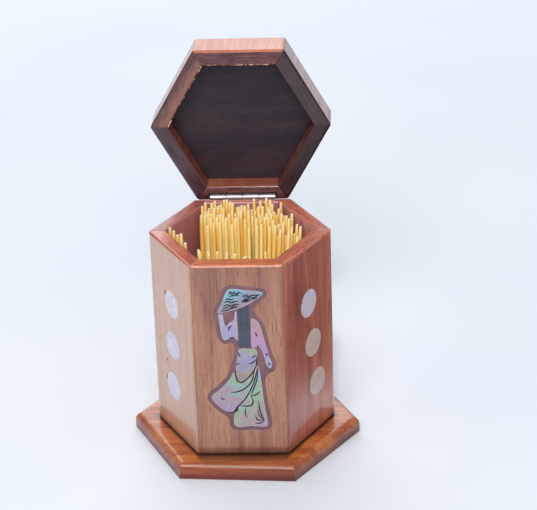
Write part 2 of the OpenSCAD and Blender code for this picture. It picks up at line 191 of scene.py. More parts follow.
class Shading:
    """A material in the making, with short calls for the nodes that the finishes share."""

    def __init__(self, name: str) -> None:
        """Starts a material with its shader.

        Args:
            name: Name of the material.
        """
        self.material = bpy.data.materials.new(name)
        self.material.use_nodes = True
        self.tree = self.material.node_tree
        self.shader = self.tree.nodes["Principled BSDF"]

    def feed(self, target: Socket, value: Value) -> None:
        """Links a socket into another one, or sets a plain value there.

        Args:
            target: Input socket.
            value: Output socket, number or row of numbers.
        """
        if isinstance(value, Socket):
            self.tree.links.new(value, target)
        else:
            target.default_value = value

    def add(self, kind: str, output: Key, inputs: "Feeds | None" = None, **settings: Key) -> Socket:
        """Adds a node and feeds its inputs.

        Args:
            kind: Node type without its common prefix.
            output: Number or name of the output in use.
            inputs: Values by number or name of the input.
            settings: Properties of the node.

        Returns:
            The output in use.
        """
        node = self.tree.nodes.new("ShaderNode" + kind)
        for key, value in settings.items():
            setattr(node, key, value)
        for key, value in (inputs or {}).items():
            self.feed(node.inputs[key], value)
        return node.outputs[output]

    def place(self) -> Socket:
        """Object coordinates, which are the shared frame in metres."""
        return self.add("TexCoord", "Object")

    def island(self) -> Socket:
        """Random number for each loose part of a mesh."""
        return self.add("NewGeometry", "Random Per Island")

    def mapped(self, vector: Socket, move: Triple = ZERO, turn: Triple = ZERO, scale: Triple = ONE) -> Socket:
        """Coordinates that are scaled, then turned by degrees about each axis, then moved."""
        steps = {"Location": move, "Rotation": [math.radians(a) for a in turn], "Scale": scale}
        return self.add("Mapping", 0, {"Vector": vector, **steps})

    def noise(self, vector: Socket, kind: Noise, shift: Triple = ZERO) -> Socket:
        """Soft noise between 0 and 1, mostly about one half.

        Args:
            vector: Coordinates.
            kind: Noise to draw.
            shift: Shift of the pattern in metres.

        Returns:
            The noise.
        """
        place = self.mapped(vector, shift, kind.turn, kind.stretch)
        looks = {"Scale": kind.scale, "Detail": kind.detail, "Roughness": kind.rough, "Distortion": kind.warp}
        return self.add("TexNoise", 0, {"Vector": place, **looks})

    def fade(self, value: Socket, start: float, end: float, low: float = 0.0, high: float = 1.0) -> Socket:
        """Number that runs from low to high as a value runs from start to end, and stays there."""
        ends = {"From Min": start, "From Max": end, "To Min": low, "To Max": high}
        return self.add("MapRange", 0, {"Value": value, **ends})

    def sway(self, noise: Socket, low: float, high: float) -> Socket:
        """Number that runs with a noise from low to high."""
        return self.fade(noise, *NOISE_SPAN, low, high)

    def calc(self, operation: str, a: Value, b: Value = 0.0) -> Socket:
        """Result of an operation on two numbers."""
        return self.add("Math", 0, {0: a, 1: b}, operation=operation)

    def weigh(self, *parts: tuple[Socket, float]) -> Socket:
        """Adds numbers by weight.

        Args:
            parts: Pairs of a number and its weight.

        Returns:
            Weighted sum.
        """
        total: Value = 0.0
        for value, weight in parts:
            total = self.calc("ADD", self.calc("MULTIPLY", value, weight), total)
        return total

    def along(self, vector: Socket, way: Value) -> Socket:
        """Length of a vector along a direction."""
        return self.add("VectorMath", "Value", {0: vector, 1: way}, operation="DOT_PRODUCT")

    def ramp(self, level: Socket, stops: Sequence[tuple[float, str]]) -> Socket:
        """Colour by level.

        Args:
            level: Number between 0 and 1.
            stops: Pairs of a level and its colour code.

        Returns:
            Colour at the level.
        """
        node = self.tree.nodes.new("ShaderNodeValToRGB")
        self.feed(node.inputs[0], level)
        marks = node.color_ramp.elements
        while len(marks) < len(stops):
            marks.new(0.5)
        for mark, (at, code) in zip(marks, stops):
            mark.position = at
            mark.color = paint(code)
        return node.outputs["Color"]

    def blend(self, share: Value, first: Socket, second: "Socket | str", mode: str = "MIX") -> Socket:
        """First colour with a share of a second one, which may be a colour code, mixed in."""
        over = paint(second) if isinstance(second, str) else second
        return self.add("Mix", 2, {0: share, 6: first, 7: over}, data_type="RGBA", blend_type=mode)

    def eased(self, radius: float) -> Socket:
        """Normal that is rounded over within a radius of the edges."""
        return self.add("Bevel", 0, {"Radius": radius}, samples=6)

    def facing(self, way: Triple, least: float = 0.5) -> Socket:
        """Mask of the faces that look along a direction, from a least share of it in the normal on."""
        return self.fade(self.along(self.add("TexCoord", "Normal"), way), least, least + FACING_RUN)

    def edges(self, rounded: Socket) -> Socket:
        """Mask of the edges, where the rounded normal leaves the true one."""
        return self.fade(self.along(rounded, self.add("NewGeometry", "Normal")), *EDGE_SPAN)

    def relief(self, height: Socket, strength: float, depth: float, under: "Socket | None" = None) -> Socket:
        """Normal of a surface with relief of a depth in metres, over another normal where one is given."""
        base = {} if under is None else {"Normal": under}
        return self.add("Bump", 0, {"Height": height, "Strength": strength, "Distance": depth, **base})

    def finish(self, **sockets: Value) -> Material:
        """Sets or links the shader's sockets.

        Args:
            sockets: Values by socket name, with _ for a space.

        Returns:
            The finished material.
        """
        for key, value in sockets.items():
            self.feed(self.shader.inputs[key.replace("_", " ")], value)
        return self.material


class BoardShading(Shading):
    """A material in the making for one board, with the coordinates on that board."""

    def __init__(self, name: str, board: Board) -> None:
        """Starts the material and takes the coordinates to the board's side, with the lid closed.

        Args:
            name: Name of the material.
            board: Board that it goes on.
        """
        super().__init__(name)
        self.board = board
        turn = [math.degrees(a) for a in board.pose.to_euler()]
        self.home = self.mapped(self.place(), board.pose.to_translation(), turn)
        self.side = self.mapped(self.home, turn=(0.0, 0.0, -board.turn))
        self.x, self.y, self.z = [self.add("SeparateXYZ", axis, {0: self.side}) for axis in "XYZ"]

    def gap(self) -> Socket:
        """Masks the painted shade in the gap between the walls and the base plate, which light hardly
        reaches, and the painted shadow of the box on the base plate around the walls.

        Returns:
            Number that is highest in the gap.
        """
        board = self.board
        if not board.footprint:
            return self.fade(self.z, board.gap_level, board.gap_level + GAP_REACH, board.gap, 0.0)
        near: Value = board.gap
        for angle, reach in FOOTPRINT_REACH:
            turn = math.radians(angle)
            away = self.calc("ABSOLUTE", self.along(self.home, (math.sin(turn), -math.cos(turn), 0.0)))
            shade = self.fade(away, board.footprint, board.footprint + reach, board.gap, 0.0)
            near = self.calc("MINIMUM", shade, near)
        return near

    def dirt(self) -> Socket:
        """Masks grime in the mitres, grime and painted shade at the foot, and the crown's darkening towards
        the top.

        Returns:
            Number that is highest where the board is darkest.
        """
        board = self.board
        level = board.joint_level
        found = self.fade(self.z, level, level + board.joint_reach, board.foot_shade_and_dirt, 0.0)
        if board.crown:
            found = self.calc("ADD", found, self.fade(self.z, *CROWN_LEVELS, 0.0, board.crown))
        if board.mitred:
            edge = self.calc("ADD", self.calc("ABSOLUTE", self.x), self.calc("MULTIPLY", self.y, MITRE))
            found = self.calc("MAXIMUM", found, self.fade(edge, *MITRE_REACH, 0.0, MITRE_DIRT))
        return found


@dataclass(frozen=True)
class LacqueredWood:
    """Close-grained hardwood with dark pores under clear lacquer."""

    dark: str
    mid: str
    pale: str
    rim_dark: str
    rim_pale: str
    wear_and_highlight: str
    lie: Lie = Lie.UPRIGHT
    figure: float = 0.35
    pores: float = 0.5
    coat: float = 0.8
    gloss: float = 0.12
    lustre: float = 0.5
    inside: str = ""
    rounding: float = 0.5 * MM
    wide: Noise = Noise(110.0, 2.0, 0.5, 0.9, (1.0, 1.0, 0.16))
    streak: Noise = Noise(620.0, 4.0, 0.6, 0.35, (1.0, 1.0, 0.05))
    fibre: Noise = Noise(3400.0, stretch=(1.0, 1.0, 0.035))
    pore: Noise = Noise(2500.0, 1.0, stretch=(1.0, 1.0, 0.11))
    ends: Noise = Noise(1300.0, 4.0, 0.65, 0.3, (0.1, 1.0, 1.0))
    pits: Noise = Noise(2300.0, 1.0, stretch=(0.14, 1.0, 1.0))
    wander: Noise = Noise(500.0, 3.0, stretch=(0.3, 1.0, 1.0))

    def material(self, name: str, board: Board) -> Material:
        """Makes the finish for one board.

        Args:
            name: Name of the material.
            board: Board that it goes on.

        Returns:
            The material.
        """
        work = BoardShading(name, board)
        grain = work.mapped(work.side, turn=self.lie.value)
        wide, streak, fibre, pore = [
            work.noise(grain, kind, board.shift) for kind in (self.wide, self.streak, self.fibre, self.pore)
        ]
        pore = work.fade(pore, 0.6, 0.72)
        tone = work.weigh((wide, self.figure), (streak, 0.75 - self.figure), (fibre, 0.25))
        colour = work.ramp(tone, ((0.36, self.dark), (0.5, self.mid), (0.63, self.pale)))
        colour = work.blend(work.calc("MULTIPLY", pore, self.pores), colour, self.dark, "MULTIPLY")
        colour = work.blend(work.facing(board.rim_way, board.rim_least), colour, self.rim(work))
        if self.inside:
            streaks = work.fade(streak, 0.35, 0.65, 0.75, 0.4)
            within = work.calc("MULTIPLY", work.facing(board.inward), streaks)
            colour = work.blend(within, colour, self.inside)
        # Grime in the mitres, grime and painted shade at the foot, and the crown's darkening towards the top
        colour = work.blend(work.dirt(), colour, self.dark, "MULTIPLY")
        # Painted shade in the gap under the walls, and the box's painted shadow on the base plate
        if board.gap:
            colour = work.blend(work.gap(), colour, GAP_SHADE_COLOUR)
        rounded = work.eased(self.rounding)
        # Pale edges: partly wear of the lacquer, partly a painted highlight along the rounded edges
        rubbed_and_lit_edges = work.calc("MULTIPLY", work.edges(rounded), work.fade(streak, 0.4, 0.6, 0.1, 0.55))
        height = work.weigh((fibre, 0.4), (pore, -0.6))
        return work.finish(
            Base_Color=work.blend(rubbed_and_lit_edges, colour, self.wear_and_highlight),
            Roughness=work.sway(streak, 0.46, 0.34),
            Specular_IOR_Level=self.lustre,
            Coat_Weight=self.coat,
            Coat_Roughness=self.gloss,
            Coat_IOR=1.55,
            Normal=work.relief(height, 0.3, 0.06 * MM, rounded),
            Coat_Normal=rounded,
        )

    def rim(self, work: BoardShading) -> Socket:
        """Colours the sawn rim of a board, with streaks along it and a paler band on its inner half.

        Args:
            work: Material in the making.

        Returns:
            Colour of the rim.
        """
        shift = work.board.shift
        ends = work.noise(work.side, self.ends, shift)
        pits = work.fade(work.noise(work.side, self.pits, shift), 0.58, 0.7, 0.0, 0.6)
        colour = work.ramp(ends, ((0.38, self.rim_dark), (0.6, self.rim_pale)))
        colour = work.blend(pits, colour, self.rim_dark, "MULTIPLY")
        if not work.board.band:
            return colour
        wander = work.sway(work.noise(work.side, self.wander, shift), -BAND_WANDER, BAND_WANDER)
        inner = work.fade(work.calc("ADD", work.y, wander), *BAND_SPAN, 0.0, work.board.band)
        return work.blend(inner, colour, self.wear_and_highlight)


@dataclass(frozen=True)
class PickWood:
    """Bare golden wood of the toothpicks, a little different from stick to stick and paler at the points."""

    shades: tuple[str, ...] = ("eeae4c", "fcc662", "ffd679", "ffe698")
    first_stop: float = 0.12
    stop_span: float = 0.76
    tip: str = "f2d898"
    end: str = "f8e6c0"
    fibre: Noise = Noise(5200.0, 3.0, 0.6, stretch=(1.0, 1.0, 0.03))
    patch: Noise = Noise(420.0, stretch=(1.0, 1.0, 0.3))

    def material(self, name: str) -> Material:
        """Makes the finish.

        Args:
            name: Name of the material.

        Returns:
            The material.
        """
        work = Shading(name)
        place = work.place()
        fibre = work.noise(place, self.fibre)
        patch = work.noise(place, self.patch)
        level = work.weigh((work.island(), 0.66), (fibre, 0.28), (patch, 0.16))
        step = self.stop_span / (len(self.shades) - 1)
        colour = work.ramp(level, [(self.first_stop + step * i, code) for i, code in enumerate(self.shades)])
        point = work.add("Attribute", "Fac", attribute_name=TIP)
        tipped = work.calc("MULTIPLY", work.fade(point, 0.35, 0.95), work.fade(patch, 0.3, 0.6, 0.35, 0.85))
        colour = work.blend(tipped, colour, self.tip)
        return work.finish(
            Base_Color=work.blend(work.fade(point, 0.94, 0.99), colour, self.end),
            Roughness=work.sway(fibre, 0.6, 0.42),
            Subsurface_Weight=0.35,
            Subsurface_Radius=(1.0, 0.7, 0.35),
            Subsurface_Scale=0.8 * MM,
            Normal=work.relief(fibre, 0.35, 0.08 * MM),
        )


@dataclass(frozen=True)
class Pearl:
    """Polished mother-of-pearl whose shades change along a way and in soft clouds, with paler cut edges."""

    shades: tuple[str, ...]
    way: Way = UP
    cloud: float = 0.8
    seed: float = 0.0
    cloud_size: float = 170.0
    edge: str = "d8d8ea"
    edge_width: float = 0.4 * MM
    ripple: Noise = Noise(900.0, 3.0, 0.55, 0.8, (1.0, 1.0, 0.35), (0.0, 35.0, 0.0))
    growth: Noise = Noise(2600.0, 2.0, 0.5, 0.4, (1.0, 1.0, 0.12), (0.0, -50.0, 0.0))

    def material(self, name: str, node: str) -> Material:
        """Makes the finish for one piece of shell.

        Args:
            name: Name of the material.
            node: Piece that it goes on, which sets the reach of the shades.

        Returns:
            The material.
        """
        low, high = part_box(node)
        way = Vector(self.way).normalized()
        half = sum(abs(w) * s for w, s in zip(way, (high - low) / 2.0))
        middle = way.dot((low + high) / 2.0)
        work = Shading(name)
        place = work.place()
        shift = (self.seed, 0.4 * self.seed, 1.3 * self.seed)
        drift = work.noise(place, Noise(self.cloud_size, warp=1.4), shift)
        ripple = work.noise(place, self.ripple, shift)
        growth = work.noise(place, self.growth, shift)
        run = work.fade(work.along(place, way), middle - half, middle + half)
        clouds, ripples = [work.fade(noise, 0.25, 0.75, -0.5, 0.5) for noise in (drift, ripple)]
        level = work.weigh((run, 1.0), (clouds, self.cloud), (ripples, 0.22))
        colour = work.ramp(level, evenly(self.shades))
        colour = work.blend(work.fade(growth, 0.55, 0.7, 0.0, 0.3), colour, WHITE, "SOFT_LIGHT")
        cut = work.calc("MULTIPLY", work.edges(work.eased(self.edge_width)), 0.55)
        return work.finish(
            Base_Color=work.blend(cut, colour, self.edge),
            Roughness=work.sway(ripple, 0.34, 0.22),
            Specular_IOR_Level=0.5,
            Coat_Weight=0.6,
            Coat_Roughness=0.08,
            Normal=work.relief(ripple, 0.12, 0.06 * MM),
        )


@dataclass(frozen=True)
class TwoTone:
    """Two shades that a fine and a broad noise share out, with gloss and relief by the fine one."""

    dark: str
    pale: str
    fine: Noise
    broad: Noise = Noise(6.0)
    share: float = 1.0
    stops: tuple[float, float] = (0.36, 0.64)
    rough: tuple[float, float] = (0.5, 0.36)
    lustre: float = 0.5
    coat: float = 0.0
    gloss: float = 0.03
    relief: float = 0.2
    depth: float = 0.05 * MM

    def material(self, name: str) -> Material:
        """Makes the finish.

        Args:
            name: Name of the material.

        Returns:
            The material.
        """
        work = Shading(name)
        place = work.place()
        fine = work.noise(place, self.fine)
        level = work.weigh((fine, self.share), (work.noise(place, self.broad), 1.0 - self.share))
        return work.finish(
            Base_Color=work.ramp(level, list(zip(self.stops, (self.dark, self.pale)))),
            Roughness=work.sway(fine, *self.rough),
            Specular_IOR_Level=self.lustre,
            Coat_Weight=self.coat,
            Coat_Roughness=self.gloss,
            Normal=work.relief(fine, self.relief, self.depth),
        )


# Dark polished shell with a fine upright streak
DARK_SHELL = TwoTone(
    "2e3544", "424b5b", Noise(1500.0, 3.0, 0.6, stretch=(1.0, 1.0, 0.05)), Noise(260.0), 0.5,
    rough=(0.4, 0.26), coat=0.5, gloss=0.1, relief=0.15,
)

# Wood-dust filler, sanded flush under the lacquer
FILLER = TwoTone(
    "67404a", "87575c", Noise(2600.0, 3.0, 0.65), Noise(220.0, warp=0.6), 0.45, coat=0.6, gloss=0.14
)

# Black filling of the engraved lines, a little worn
INK = TwoTone(
    "0e0e16", "2a2834", Noise(2200.0, 3.0, 0.6), stops=(0.5, 0.7), rough=(0.55, 0.38), depth=0.04 * MM
)

# Pale seamless paper of the floor
PAPER = TwoTone(
    "f0f6fd", "f7fbff", Noise(1400.0), Noise(6.0), 0.0, (0.35, 0.65), (0.9, 0.8), lustre=0.1, relief=0.0
)


@dataclass(frozen=True)
class PlatedSteel:
    """Plated steel, brushed along the pin and dull in spots, with bright edges."""

    bright: str = "bcb4ba"
    dull: str = "8e868a"
    edge: str = "d8d4d6"
    edge_width: float = 0.25 * MM
    brushed: Noise = Noise(4200.0, 3.0, 0.6, stretch=(0.06, 1.0, 1.0))
    spots: Noise = Noise(900.0, 3.0, 0.6, 0.5)

    def material(self, name: str) -> Material:
        """Makes the finish.

        Args:
            name: Name of the material.

        Returns:
            The material.
        """
        work = Shading(name)
        place = work.place()
        brushed = work.noise(place, self.brushed)
        rounded = work.eased(self.edge_width)
        level = work.weigh((brushed, 0.65), (work.noise(place, self.spots), 0.35))
        colour = work.ramp(level, ((0.34, self.dull), (0.55, self.bright)))
        return work.finish(
            Base_Color=work.blend(work.calc("MULTIPLY", work.edges(rounded), 0.5), colour, self.edge),
            Metallic=1.0,
            Roughness=work.fade(level, 0.35, 0.65, 0.5, 0.36),
            Normal=work.relief(brushed, 0.12, 0.04 * MM, rounded),
        )


@dataclass(frozen=True)
class DryGlue:
    """Cream glue pressed out of a joint, browner from fleck to fleck."""

    shades: tuple[str, ...] = ("7c4a3c", "b07a5e", "dcb994", "efdcc0")
    skin: Noise = Noise(1800.0)

    def material(self, name: str) -> Material:
        """Makes the finish.

        Args:
            name: Name of the material.

        Returns:
            The material.
        """
        work = Shading(name)
        skin = work.noise(work.place(), self.skin)
        return work.finish(
            Base_Color=work.ramp(work.weigh((work.island(), 0.75), (skin, 0.25)), evenly(self.shades)),
            Roughness=work.sway(skin, 0.5, 0.3),
            Normal=work.relief(skin, 0.3, 0.1 * MM),
        )


@dataclass(frozen=True)
class CardPaper:
    """Dark card that fades out at its left edge, so that its mirror image has no hard line."""

    stops: tuple[tuple[float, str], ...] = (
        (0.0, "e6e8f0"), (0.1, "8a7876"), (0.2, "2c1c1a"), (0.55, "2c1c1a"), (1.0, "6a5654")
    )
    start: float = -0.5
    end: float = -0.18
    blur: float = 0.04
    cloud: Noise = Noise(6.0)

    def material(self, name: str) -> Material:
        """Makes the finish.

        Args:
            name: Name of the material.

        Returns:
            The material.
        """
        work = Shading(name)
        place = work.place()
        run = work.fade(work.along(place, (1.0, 0.0, 0.0)), self.start, self.end)
        cloud = work.sway(work.noise(place, self.cloud), -self.blur, self.blur)
        return work.finish(
            Base_Color=work.ramp(work.calc("ADD", run, cloud), self.stops),
            Roughness=work.fade(cloud, -self.blur, self.blur, 0.9, 0.8),
            Specular_IOR_Level=0.1,
        )


def clear_selection() -> None:
    """Leaves edit mode and deselects everything."""
    if bpy.context.object is not None and bpy.context.object.mode != "OBJECT":
        bpy.ops.object.mode_set(mode="OBJECT")
    bpy.ops.object.select_all(action="DESELECT")


def pick_up(*pieces: Piece) -> None:
    """Selects pieces and makes the first one active.

    Args:
        pieces: Pieces to select.
    """
    clear_selection()
    for piece in pieces:
        piece.select_set(True)
    bpy.context.view_layer.objects.active = pieces[0]


@contextmanager
def editing(piece: Piece) -> Iterator[None]:
    """Opens a piece for editing with its whole mesh selected, and closes it afterwards.

    Args:
        piece: Piece to edit.

    Yields:
        Nothing, while the piece is open.
    """
    pick_up(piece)
    bpy.ops.object.mode_set(mode="EDIT")
    bpy.ops.mesh.select_all(action="SELECT")
    yield
    bpy.ops.object.mode_set(mode="OBJECT")


def settle(piece: Piece) -> None:
    """Puts a piece's place into its mesh, merges doubles and turns its faces outwards.

    Args:
        piece: Piece to settle.
    """
    pick_up(piece)
    bpy.ops.object.transform_apply(location=True, rotation=True, scale=True)
    with editing(piece):
        bpy.ops.mesh.remove_doubles(threshold=1e-7)
        bpy.ops.mesh.normals_make_consistent(inside=False)


def twin(piece: Piece, name: str) -> Piece:
    """Copies a piece with a mesh of its own.

    Args:
        piece: Piece to copy.
        name: Name of the copy.

    Returns:
        The copy.
    """
    copy = piece.copy()
    copy.data = piece.data.copy()
    copy.name = name
    bpy.context.scene.collection.objects.link(copy)
    return copy


def together(pieces: Sequence[Piece], name: str) -> Piece:
    """Joins pieces into one.

    Args:
        pieces: Pieces to join.
        name: Name of the whole.

    Returns:
        The joined piece.
    """
    pick_up(*pieces)
    bpy.ops.object.join()
    whole = bpy.context.object
    whole.name = name
    whole.data.name = name
    return whole


def coat_piece(piece: Piece, finish: Material) -> None:
    """Gives every material slot of a piece the same finish.

    Args:
        piece: Piece to dress.
        finish: Its material.
    """
    if not piece.material_slots:
        piece.data.materials.append(finish)
    for spot in piece.material_slots:
        spot.material = finish


def dress(node: str, finish: Material) -> None:
    """Dresses a CAD node and reports it."""
    coat_piece(frame["nodes"][node], finish)
    LOG.info("dressed %s with %s", node, finish.name)


@dataclass(frozen=True)
class Swing:
    """Swing of the lid about the hinge pin."""

    axis: Vector
    angle: float

    def opened(self) -> Matrix:
        """Takes a place on the closed lid to where it is with the lid open."""
        turn = Matrix.Rotation(-math.radians(self.angle), 4, "X")
        return Matrix.Translation(self.axis) @ turn @ Matrix.Translation(-self.axis)

    def closed(self) -> Matrix:
        """Takes a place on the open lid to where it is with the lid closed."""
        return self.opened().inverted()

    def way(self, direction: Triple) -> Way:
        """Direction on the open lid of one that is given on the closed lid."""
        return tuple(self.opened().to_3x3() @ Vector(direction))


@dataclass(frozen=True)
class Lamp:
    """A lamp: seat, aim, power in watts, size in metres and, for a spot, its cone in degrees."""

    name: str
    seat: Way
    aim: Way
    power: float
    size: float
    cone: float = 0.0

    def hang(self) -> None:
        """Hangs the lamp, as a disc or, with a cone, as a soft spot."""
        clear_selection()
        bpy.ops.object.light_add(type="SPOT" if self.cone else "AREA", location=self.seat)
        lamp = bpy.context.object
        lamp.name = self.name
        lamp.rotation_euler = (Vector(self.aim) - lamp.location).to_track_quat("-Z", "Y").to_euler()
        light = lamp.data
        light.energy = self.power
        if self.cone:
            light.spot_size = math.radians(self.cone)
            light.spot_blend = 1.0
            light.shadow_soft_size = self.size
        else:
            light.shape = "DISK"
            light.size = self.size


@dataclass
class Stage:
    """Camera, pale floor and soft studio light: a disc behind the box, one before it, a spot on its mouth."""

    lens: float = 158.45076
    seat: Way = (0.0410002, -0.6912327, 0.4101590)
    aim: Way = (63.52134522, 1.73334337, 1.77790449)
    view_depth: float = 50.0
    floor_size: float = 8.0
    floor_seat: Way = (0.0, 0.0, -0.1 * MM)
    sky: str = "eef4ff"
    sky_strength: float = 0.46
    lamps: tuple[Lamp, ...] = (
        Lamp("key_lamp", (-0.2, 1.1, 0.68), (0.0, 0.0, 0.05), 8.5, 1.3),
        Lamp("fill_lamp", (-0.08, -0.68, 0.76), (0.0, 0.0, 0.05), 5.2, 0.6),
        Lamp("mouth_lamp", (0.0, -0.51, 0.69), (0.010, 0.008, 0.078), 20.0, 0.04, 4.6),
    )
    card_size: tuple[float, float] = (0.3, 0.5)
    card_seat: Way = (0.2, 0.1, 0.002)

    def camera(self) -> None:
        """Sets the camera at the photograph's viewing angle."""
        clear_selection()
        bpy.ops.object.camera_add(location=self.seat, rotation=[math.radians(a) for a in self.aim])
        camera = bpy.context.object
        camera.name = "camera"
        camera.data.lens = self.lens
        camera.data.clip_end = self.view_depth
        bpy.context.scene.camera = camera

    def floor(self) -> None:
        """Lays the pale floor just under the base."""
        clear_selection()
        bpy.ops.mesh.primitive_plane_add(size=self.floor_size, location=self.floor_seat)
        floor = bpy.context.object
        floor.name = "floor"
        coat_piece(floor, PAPER.material("floor_paper"))

    def card(self) -> None:
        """Lays a dark card on the floor at the right, which the lacquer mirrors."""
        clear_selection()
        bpy.ops.mesh.primitive_plane_add(size=1.0, location=self.card_seat)
        card = bpy.context.object
        card.name = "dark_card"
        card.scale = (*self.card_size, 1.0)
        coat_piece(card, CardPaper().material("card_paper"))
        card.visible_camera = card.visible_diffuse = card.visible_shadow = False

    def air(self) -> None:
        """Fills the room with pale light."""
        world = bpy.data.worlds.new("studio")
        world.use_nodes = True
        bpy.context.scene.world = world
        back = world.node_tree.nodes["Background"]
        back.inputs["Color"].default_value = paint(self.sky)
        back.inputs["Strength"].default_value = self.sky_strength

    def build(self) -> None:
        """Builds the whole stage."""
        bpy.context.scene.view_settings.view_transform = "Standard"
        self.camera()
        self.floor()
        for lamp in self.lamps:
            lamp.hang()
        self.card()
        self.air()
        LOG.info("stage ready")


@dataclass
class Case:
    """Base plate, floor panel and the six mitred walls."""

    base_turn: float = -3.5
    base_top: float = 5.5 * MM
    wall_apothem: float = 26.0 * MM
    wall_dirt: float = 2.2 * MM
    first_seed: float = 0.31
    seed_step: float = 0.17
    front: LacqueredWood = LacqueredWood("865240", "a87056", "bc8464", "cc6232", "fc9458", "dba47e")
    left: LacqueredWood = LacqueredWood(
        "b9866e", "c8967a", "d2a286", "b04a32", "d06a4c", "e6bda2", figure=0.3, pores=0.3, coat=1.0, gloss=0.1
    )
    red: LacqueredWood = LacqueredWood(
        "8c483a", "b86652", "cc8066", "a44a34", "d87852", "d29474", figure=0.5, coat=1.0, inside="b88090"
    )
    base: LacqueredWood = LacqueredWood(
        "8b4018", "c4642a", "ec923e", "8a4a28", "b87038", "e8b078", Lie.ACROSS, 0.42, 0.4, 0.5, 0.14
    )
    inner: LacqueredWood = LacqueredWood(
        "5a3020", "74442f", "8c5840", "74442f", "8c5840", "9a6a50", Lie.ACROSS, coat=0.0, gloss=0.4
    )

    def walls(self) -> None:
        """Dresses the walls, each with its own stretch of grain."""
        # Darker copy of the red wood for the back-left wall: painted shade on its rim
        shaded_red = replace(self.red, rim_dark="8a3426", rim_pale="b8543c", coat=0.7)
        finishes = {Side.FRONT: self.front, Side.FRONT_LEFT: self.left, Side.BACK_LEFT: shaded_red}
        for count, side in enumerate(Side):
            node = f"wall_{side.label}"
            # Foot of each wall: painted shade under its eased lower edge, up to a little above the base plate
            # and in the gap
            board = Board(
                Matrix.Identity(4), side.value, UP, self.first_seed + self.seed_step * count,
                joint_level=self.base_top + self.wall_dirt, joint_reach=0.7 * MM, foot_shade_and_dirt=0.25,
                gap=0.6, gap_level=self.base_top,
            )
            # The front wall gets stronger painted shade at its foot and in the gap, and a darker crown
            if side is Side.FRONT:
                board = replace(board, foot_shade_and_dirt=0.5, gap=0.95, crown=0.3)
            dress(node, finishes.get(side, self.red).material(node + "_wood", board))

    def foot(self) -> None:
        """Dresses the base plate and the floor panel."""
        # Base plate: grime and painted shade darken it towards the floor, the box's painted shadow around the
        # walls
        plate = Board(
            Matrix.Identity(4), self.base_turn, DOWN, 0.83, False,
            joint_reach=1.15 * self.base_top, foot_shade_and_dirt=1.2, gap=0.85, footprint=self.wall_apothem,
        )
        dress("base_plate", self.base.material("base_wood", plate))
        panel = Board(Matrix.Identity(4), 0.0, DOWN, 0.47, False)
        dress("box_floor", self.inner.material("floor_panel_wood", panel))

    def build(self) -> None:
        """Dresses the whole case."""
        self.walls()
        self.foot()


@dataclass(frozen=True)
class RailLook:
    """What sets a lid rail apart, partly painted light and shade: mouth shades, edges, paler band, lacquer,
    inner face.
    """

    dark: str
    pale: str
    wear_and_highlight: str
    band: float
    coat: float
    inside: str


